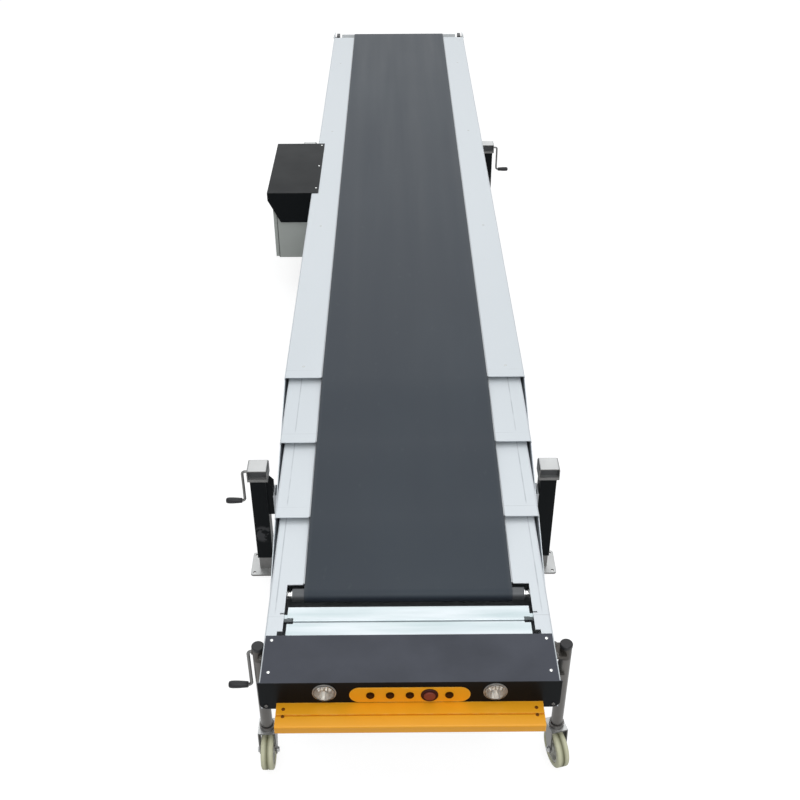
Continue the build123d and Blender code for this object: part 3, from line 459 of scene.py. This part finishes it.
def tread(side):
    """Pale tyre, dark along the middle of its tread: painted shade of its groove."""
    mat, tree, bsdf, paint = recoloured(f"wheel_tread_{side}", "wheel_tread")
    hub, axle = wheel_axle(side)
    along_axle = vector_node(tree, "DOT_PRODUCT", place(tree), axle)
    away = math_node(tree, "ABSOLUTE", math_node(tree, "SUBTRACT", along_axle, hub.dot(axle)))
    shade = ramp_between(tree, away, 0.0, 1.0, 0.0005, 0.011)
    # Painted shade along the middle of the tread
    wire(tree, two_tones(tree, shade, (0.21, 0.21, 0.12), paint), bsdf.inputs["Base Color"])
    return mat


def roller_ends(name, tone):
    """Dark roller with paler ends beside the belt."""
    mat, tree, bsdf, paint = recoloured(name, "roller_steel")
    from_middle = math_node(tree, "ABSOLUTE", axes(tree)[0])
    ends = ramp_between(tree, from_middle, 0.0, 1.0, BELT_HALF, BELT_HALF + 0.003)
    wire(tree, two_tones(tree, ends, paint, tone), bsdf.inputs["Base Color"])
    return mat


def seamed(name, look, seam):
    """A painted box with a dark line where its door meets it."""
    mat, tree, bsdf, paint = recoloured(name, look)
    line = band(tree, axes(tree)[0], seam, 0.0045)
    wire(tree, two_tones(tree, line, paint, (0.05, 0.052, 0.05)), bsdf.inputs["Base Color"])
    return mat


# Tone of the lit tops of the zinc parts: painted light, with some dust
LIT_TOP_ZINC = (0.52, 0.525, 0.52)
NOSE_WEAR = LIPS[3] - 0.2
DOOR_SEAM = CABINET_FACE + 0.001
looks["silver_paint"] = cover_paint("silver_paint", LIPS[0], DECKS[0], lined=False)
looks["belt_rubber"] = belt_rubber()
looks["red_plastic"] = stop_red()
looks["lamp_glass"] = lamp_glass()
# Jack legs and forks with paler tops: painted light, with some dust
lit_top_zinc = dust_and_lit_tops("zinc_legs_dust_and_lit_tops", "dull_and_shaded_zinc", LIT_TOP_ZINC)
special = {
    "section_2_side_channels": cover_paint("silver_paint_2", LIPS[1], DECKS[1], lined=True),
    "section_3_side_channels": cover_paint("silver_paint_3", LIPS[2], DECKS[2], lined=True),
    "nose_side_channels": cover_paint("silver_paint_nose", NOSE_WEAR, DECKS[3], lined=True),
    "electrical_cabinet": seamed("cabinet_grey_box", "cabinet_grey", DOOR_SEAM),
    # The control box's top is paler and bluer: a painted sheen of the sky, with some dust
    "control_box": dust_and_lit_tops("black_paint_dust_and_sheen", "black_paint", (0.084, 0.089, 0.107)),
    "push_buttons": looks["warm_black"],
    # Jack heads with paler tops: painted light, with some dust
    "jack_heads": dust_and_lit_tops("zinc_heads_dust_and_lit_tops", "dull_and_shaded_zinc", LIT_TOP_ZINC),
    "jack_tubes": chipped("black_paint_chipped", "black_paint", CHIPS, CHIPS_REACH, (0.075, 0.075, 0.078)),
    "jockey_poles": pole_steel(),
    "tail_roller": roller_ends("tail_steel", (0.42, 0.44, 0.45)),
    "nose_roller": roller_ends("nose_steel", (0.085, 0.09, 0.095)),
    # Cranks in the darker zinc, partly painted shade
    **{crank: looks["dull_and_shaded_zinc"] for crank in CRANKS},
}
for side in POLES:
    special[f"wheel_tyre_{side}"] = tread(side)
    for node in (f"jack_leg_front_{side}", f"jack_leg_rear_{side}", f"jockey_fork_{side}"):
        special[node] = lit_top_zinc
slots = {s["node"]: s["material_slot"] for s in frame["record"]["subparts"]}
for name, obj in nodes.items():
    obj.data.materials.clear()
    obj.data.materials.append(special.get(name, looks[slots[name]]))


# Shapes as lists of points and faces
def lathe(profile, segments):
    """A turned shape around +Z from (radius, height) pairs, closed at both ends."""
    points, faces = [], []
    for radius, height in profile:
        for k in range(segments):
            angle = 2 * math.pi * k / segments
            points.append((radius * math.cos(angle), radius * math.sin(angle), height))
    for row in range(len(profile) - 1):
        for k in range(segments):
            a, b = row * segments + k, row * segments + (k + 1) % segments
            faces.append((a, b, b + segments, a + segments))
    faces.append(tuple(reversed(range(segments))))
    last = (len(profile) - 1) * segments
    faces.append(tuple(range(last, last + segments)))
    return points, faces


def brick(low, high, bevel):
    """A block with small bevels."""
    form = bmesh.new()
    size = Vector(high) - Vector(low)
    middle = (Vector(high) + Vector(low)) / 2
    bmesh.ops.create_cube(form, size=1, matrix=Matrix.Translation(middle) @ Matrix.Diagonal((*size, 1)))
    bmesh.ops.bevel(form, geom=form.edges, offset=bevel, segments=2, affect="EDGES", profile=0.5)
    form.verts.index_update()
    points = [tuple(v.co) for v in form.verts]
    faces = [tuple(v.index for v in f.verts) for f in form.faces]
    form.free()
    return points, faces


def joined(*shapes):
    points, faces = [], []
    for some, more in shapes:
        start = len(points)
        points += some
        faces += [tuple(start + k for k in face) for face in more]
    return points, faces


def moved(shape, move):
    return [tuple(move @ Vector(p)) for p in shape[0]], shape[1]


def stood(shape, origin, up):
    """The shape with its +Z turned to the direction up, moved to the origin point."""
    turn = Vector(up).to_track_quat("Z", "Y").to_matrix().to_4x4()
    return moved(shape, Matrix.Translation(origin) @ turn)


def repeated(shape, origins, up):
    return joined(*[stood(shape, origin, up) for origin in origins])


def paired(shape, x, y, z):
    """The shape on both sides, its +Z pointing outwards along X."""
    return joined(*[stood(shape, (s * x, y, z), s * X) for s in SIDES])


def piece(name, shape, body, look, slot, *stands_for, smooth=40):
    """A visible piece on a body; smooth is the angle up to which its shading is smooth, or 0."""
    mesh = bpy.data.meshes.new(name)
    mesh.from_pydata(shape[0], [], shape[1])
    form = bmesh.new()
    form.from_mesh(mesh)
    bmesh.ops.recalc_face_normals(form, faces=form.faces)
    form.to_mesh(mesh)
    form.free()
    if smooth:
        mesh.shade_smooth()
        mesh.set_sharp_from_angle(angle=math.radians(smooth))
    mesh.materials.append(looks[look])
    obj = bpy.data.objects.new(name, mesh)
    scene.collection.objects.link(obj)
    if body:
        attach(obj, body)
    if stands_for:
        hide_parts(*stands_for)
    return obj


PAN_SCREW = lathe(
    [(0.0056, -0.001), (0.0056, 0.0012), (0.0050, 0.0024), (0.0036, 0.0032), (0.0022, 0.0034),
     (0.0020, 0.0014), (0.0006, 0.0012)],
    segments=18,
)
FLUSH_SCREW = lathe(
    [(0.0062, -0.001), (0.0062, 0.0004), (0.0056, 0.0007), (0.0028, 0.0008), (0.0024, -0.0006),
     (0.0005, -0.0006)],
    segments=18,
)
HEX_NUT = joined(
    lathe([(0.0100, -0.0005), (0.0100, 0.0012), (0.0094, 0.0016), (0.0030, 0.0016)], segments=24),
    lathe(
        [(0.0078, 0.0014), (0.0078, 0.0056), (0.0070, 0.0064), (0.0044, 0.0064), (0.0040, 0.0056)],
        segments=6,
    ),
    lathe([(0.0038, 0.0040), (0.0038, 0.0078), (0.0030, 0.0086), (0.0010, 0.0086)], segments=16),
)
AXLE_NUT = joined(
    lathe([(0.0115, 0.0000), (0.0115, 0.0014), (0.0110, 0.0018), (0.0062, 0.0018)], segments=24),
    lathe(
        [(0.0098, 0.0016), (0.0098, 0.0062), (0.0090, 0.0070), (0.0064, 0.0070), (0.0061, 0.0060)],
        segments=6,
    ),
)

# Belt: fixed runs at both ends and runs from lip to lip between them
BELT_COLUMNS = (-1, -0.992, -0.6, -0.2, 0.2, 0.6, 0.992, 1)
BELT_EDGE_SINK = 0.0007
TAIL_LEAD = 0.05
ROLLER_LEAD = 0.002
RUN_ROWS = 24


def ribbon(path):
    """A belt that follows (y, z, outward y, outward z) rows of its outer face."""
    points, faces = [], []
    for y, z, ny, nz in path:
        for c in BELT_COLUMNS:
            sink = BELT_EDGE_SINK if abs(c) == 1 else 0.0
            points.append((c * BELT_HALF, y - ny * sink, z - nz * sink))
        for c in BELT_COLUMNS:
            points.append((c * BELT_HALF, y - ny * BELT_THICK, z - nz * BELT_THICK))
    count = len(BELT_COLUMNS)
    for row in range(len(path) - 1):
        a, b = row * 2 * count, (row + 1) * 2 * count
        for k in range(count - 1):
            faces.append((a + k, a + k + 1, b + k + 1, b + k))
            faces.append((a + count + k, b + count + k, b + count + k + 1, a + count + k + 1))
        for k in (0, count - 1):
            faces.append((a + k, b + k, b + count + k, a + count + k))
    for row in (0, len(path) - 1):
        a = row * 2 * count
        for k in range(count - 1):
            faces.append((a + k, a + count + k, a + count + k + 1, a + k + 1))
    return points, faces


def level(y0, y1, z0, z1, rows):
    """Rows of a run that eases from one height to another."""
    steps = [k / rows for k in range(rows + 1)]
    return [(y0 + (y1 - y0) * t, z0 + (z1 - z0) * t * t * (3 - 2 * t), 0.0, 1.0) for t in steps]


def wrap(centre, radius, start, turn, rows):
    """Rows round a roller, from an angle measured from +Z towards +Y."""
    path = []
    for k in range(rows + 1):
        angle = math.radians(start + turn * k / rows)
        ny, nz = math.sin(angle), math.cos(angle)
        path.append((centre[0] + radius * ny, centre[1] + radius * nz, ny, nz))
    return path


def belt(name, path, body, *stands_for):
    return piece(name, ribbon(path), body, "belt_rubber", "belt_rubber", *stands_for, smooth=60)


tail_run = [(TAIL[0] - TAIL_RETURN, TAIL[1] - TAIL_OUTER, 0.0, -1.0)]
tail_run += wrap(TAIL, TAIL_OUTER, start=180, turn=-180, rows=24)
tail_run += level(TAIL[0] - TAIL_LEAD, LIPS[0], DECKS[0], DECKS[0], RUN_ROWS)
nose_run = level(LIPS[3], ROLLER[0] + ROLLER_LEAD, DECKS[3], DECKS[3], rows=2)
nose_run += wrap(ROLLER, ROLLER_OUTER, start=0, turn=-180, rows=18)
nose_run += [(ROLLER[0] + NOSE_RETURN, ROLLER[1] - ROLLER_OUTER, 0.0, -1.0)]
belt("belt_base_run", tail_run, "base", "base_belt")
belt("belt_nose_run", nose_run, "nose", "nose_belt")
for k in range(len(SECTIONS) - 1):
    rows = level(LIPS[k], LIPS[k + 1], DECKS[k], DECKS[k + 1], RUN_ROWS)
    run = belt(f"belt_run_{k + 1}", rows, None)
    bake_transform(run)
    if k:
        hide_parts(f"{SECTIONS[k]}_belt")

# Screws on the hood, the control box, the bumper and the covers
places = [(HOOD_SCREW_X, y, HOOD_TOP) for y in HOOD_SCREWS_Y]
piece("hood_screws", repeated(PAN_SCREW, places, Z), "base", "bright_steel", "zinc")
places = [(s * x, y, NOSE_TOP) for s in SIDES for x, y in BOX_SCREWS_XY]
piece("nose_top_screws", repeated(PAN_SCREW, places, Z), "nose", "bright_steel", "zinc")
places = [(s * FACE_SCREW_XZ[0], NOSE_FACE, FACE_SCREW_XZ[1]) for s in SIDES]
piece("nose_face_screws", repeated(PAN_SCREW, places, -Y), "nose", "dark_steel", "dark_steel")
places = [(s * BUMPER_SCREW_X, y, BUMPER_TOP) for s in SIDES for y in BUMPER_SCREWS_Y]
piece("bumper_screws", repeated(PAN_SCREW, places, Z), "nose", "brown_steel", "dark_steel")
places = [(s * COVER_SCREW_X, y, DECKS[0]) for s in SIDES for y in COVER_SCREWS_Y]
piece("cover_screws", repeated(FLUSH_SCREW, places, Z), "base", "zinc", "zinc")

# Bright journals of the nose roller; nuts of the guide rollers, pole clamps and jockey axles
journal = lathe(
    [(0.0150, 0.0), (0.0150, 0.003), (0.0110, 0.006), (0.0110, 0.012), (0.0150, 0.016), (0.0150, 0.0185)],
    segments=24,
)
piece("roller_journals", paired(journal, ROLLER_END + JOURNAL_GAP, *ROLLER), "nose", "bright_steel", "zinc")
for guide, body in zip(GUIDES, SECTIONS):
    piece(f"{body}_roller_nuts", paired(HEX_NUT, *guide), body, "zinc", "zinc")
places = [
    (math.copysign(CLAMP_BOLT_X, x), y + s * CLAMP_BOLT_REACH, z)
    for x, y, _ in POLES.values() for z in CLAMP_BOLTS_Z for s in SIDES
]
piece("clamp_bolts", repeated(HEX_NUT, places, Z), "nose", "dark_steel", "dark_steel")
for side in POLES:
    hub, axle = wheel_axle(side)
    nuts = [stood(AXLE_NUT, hub + s * CHEEK * axle, s * axle) for s in SIDES]
    piece(f"axle_nuts_{side}", joined(*nuts), f"jockey_fork_{side}", "zinc", "zinc")

# Lamp reflectors with facets, and the bulbs in them as (x, z) from the lamp's middle: bright white pieces
# set where they give painted glints
faceted = lathe(
    [(0.0060, -0.0184), (0.0131, -0.0176), (0.0182, -0.0115), (0.0226, -0.0065), (0.0266, -0.0019),
     (0.0302, 0.0022), (0.0298, 0.0022), (0.0262, -0.0016), (0.0222, -0.0062), (0.0178, -0.0112),
     (0.0128, -0.0170), (0.0060, -0.0178)],
    segments=16,
)
glint_bulb = lathe(
    [(0.0030, -0.014), (0.0036, -0.004), (0.0033, -0.001), (0.0020, 0.0008), (0.0006, 0.0013)],
    segments=14,
)
GLINT_BULBS = ((-0.0165, 0.0085), (-0.0055, 0.0125), (0.0055, 0.0125), (0.0165, 0.0085))
places = [(x, NOSE_FACE, LAMP_Z) for x in LAMPS]
piece("lamp_reflectors", repeated(faceted, places, -Y), "nose", "reflector", "lamp_chrome", smooth=0)
places = [(x + dx, NOSE_FACE, LAMP_Z + dz) for x in LAMPS for dx, dz in GLINT_BULBS]
piece("lamp_glint_bulbs", repeated(glint_bulb, places, -Y), "nose", "bulb_white_glint", "lamp_chrome")

# Crank grips with a swelled middle and rounded ends
grip = lathe(
    [(0.0062, 0.0), (0.0092, 0.0), (0.0103, 0.0015), (0.0112, 0.012), (0.0127, 0.034), (0.0128, 0.050),
     (0.0120, 0.059), (0.0098, 0.0642), (0.0062, 0.0658), (0.0020, 0.0660)],
    segments=28,
)
for crank, side in CRANKS.items():
    lows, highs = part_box(f"{crank}_grip")
    middle = (Vector(lows) + Vector(highs)) / 2
    root = (highs[0] if side < 0 else lows[0], middle.y, middle.z)
    shape = stood(grip, root, side * X)
    piece(f"{crank}_handle", shape, crank, "black_plastic", "black_plastic", f"{crank}_grip")

# Through-bolts of the tail bearings
places = [(s, TAIL[0] + t * TAIL_BOLT_REACH, z) for s in SIDES for t in SIDES for z in TAIL_BOLTS_Z]
tail_bolts = [stood(HEX_NUT, (s * TAIL_BOLT_X, y, z), s * X) for s, y, z in places]
piece("tail_bolts", joined(*tail_bolts), "base", "zinc", "zinc")

# Motor: cooling fins, fan cowl with rings, terminal box
FINS = 30
RINGS = (0.020, 0.030, 0.040, 0.050)
RING_WIDTH = 0.004
RING_LOW, RING_HIGH = 0.2285, 0.2312
at_motor = Matrix.Translation(MOTOR)
fin = brick((0.066, -0.0014, 0.292), (0.0775, 0.0014, 0.41), bevel=0.0006)
fins = [moved(fin, at_motor @ Matrix.Rotation(2 * math.pi * k / FINS, 4, "Z")) for k in range(FINS)]
piece("motor_fins", joined(*fins), "base", "cast_grey", "cast_grey")
cowl = lathe(
    [(0.030, 0.2305), (0.062, 0.2305), (0.072, 0.234), (0.0775, 0.243), (0.0785, 0.288), (0.0765, 0.290),
     (0.050, 0.290)],
    segments=40,
)
rings = []
for inner in RINGS:
    outer = inner + RING_WIDTH
    section = [(inner, RING_LOW), (inner, RING_HIGH), (outer, RING_HIGH), (outer, RING_LOW)]
    rings.append(lathe(section, segments=40))
piece("motor_cowl", moved(joined(cowl, *rings), at_motor), "base", "black_plastic", "black_plastic")
case = brick((-0.045, 0.066, 0.318), (0.045, 0.112, 0.405), bevel=0.003)
lid = brick((-0.047, 0.112, 0.316), (0.047, 0.118, 0.407), bevel=0.002)
piece("terminal_box", moved(joined(case, lid), at_motor), "base", "cast_grey", "cast_grey")

# Turn locks of the cabinet door
lock = joined(
    lathe(
        [(0.0140, -0.0005), (0.0140, 0.0020), (0.0128, 0.0030), (0.0095, 0.0030), (0.0090, 0.0018),
         (0.0010, 0.0018)],
        segments=28,
    ),
    brick((-0.0075, -0.0016, 0.0012), (0.0075, 0.0016, 0.0034), bevel=0.0005),
)
places = [(DOOR_FACE, LOCK_Y, z) for z in LOCKS_Z]
piece("door_locks", repeated(lock, places, -X), "cabinet_door", "black_plastic", "black_plastic")


# Pale floor and sky, white towards the camera with a soft shadow kept
def seen(tree):
    """1 for rays from the camera, a mirror or glass, and 0 for those that light the surfaces."""
    rays = tree.nodes.new("ShaderNodeLightPath").outputs
    straight = math_node(tree, "MAXIMUM", rays["Is Camera Ray"], rays["Is Glossy Ray"])
    return math_node(tree, "MAXIMUM", straight, rays["Is Transmission Ray"])


FLOOR_SIZE = 120
FLOOR_GREY = (0.4, 0.4, 0.4, 1)
FLOOR_LIFT = 0.80
SKY_TONE = (0.96, 0.98, 1.0, 1)
SKY_LIGHT, SKY_SEEN = 0.38, 1.0

bpy.ops.mesh.primitive_plane_add(size=FLOOR_SIZE, location=(0, 0, 0))
floor = bpy.context.object
floor.name = "floor"
mat, tree, bsdf = shader("floor")
wire(tree, product(tree, seen(tree), FLOOR_LIFT), bsdf.inputs["Emission Strength"])
bsdf.inputs["Base Color"].default_value = FLOOR_GREY
bsdf.inputs["Roughness"].default_value = 1.0
bsdf.inputs["Specular IOR Level"].default_value = 0.0
bsdf.inputs["Emission Color"].default_value = (1, 1, 1, 1)
floor.data.materials.append(mat)

world = bpy.data.worlds.new("studio")
scene.world = world
world.use_nodes = True
sky = world.node_tree
background = sky.nodes["Background"].inputs
background["Color"].default_value = SKY_TONE
wire(sky, ramp_between(sky, seen(sky), SKY_LIGHT, SKY_SEEN), background["Strength"])


def softbox(name, spot, aim, size, power):
    data = bpy.data.lights.new(name, "AREA")
    data.shape = "RECTANGLE"
    data.size, data.size_y = size
    data.energy = power
    lamp = bpy.data.objects.new(name, data)
    scene.collection.objects.link(lamp)
    lamp.location = spot
    lamp.rotation_mode = "QUATERNION"
    lamp.rotation_quaternion = (Vector(aim) - Vector(spot)).to_track_quat("-Z", "Y")


softbox("overhead", (0, -0.5, 7), aim=(0, -0.6, 0), size=(7, 11), power=250)
softbox("behind", (0, 13, 6), aim=(0, 0, 0.5), size=(9, 5), power=130)
softbox("front", (0.8, -8, 5.5), aim=(0, -3, 0.5), size=(5, 3), power=190)

# Camera fitted to the photograph, its focal length in pixels of the picture's width
CAMERA = (-0.0331, -5.37575, 3.1878)
YAW, PITCH, ROLL = (math.radians(a) for a in (0.195, 35.363, 0.290))
FOCAL_PIXELS = 1063.6
PICTURE_PIXELS = 800
SENSOR = 36
forward = Vector((math.sin(YAW) * math.cos(PITCH), math.cos(YAW) * math.cos(PITCH), -math.sin(PITCH)))
right = Vector((math.cos(YAW), -math.sin(YAW), 0))
down = forward.cross(right)
across = math.cos(ROLL) * right + math.sin(ROLL) * down
below = math.cos(ROLL) * down - math.sin(ROLL) * right
data = bpy.data.cameras.new("camera")
data.lens = FOCAL_PIXELS / PICTURE_PIXELS * SENSOR
data.sensor_width = SENSOR
data.clip_end = 200
camera = bpy.data.objects.new("camera", data)
scene.collection.objects.link(camera)
turn = Matrix((across, -below, -forward)).transposed()
camera.matrix_world = Matrix.Translation(CAMERA) @ turn.to_4x4()
scene.camera = camera
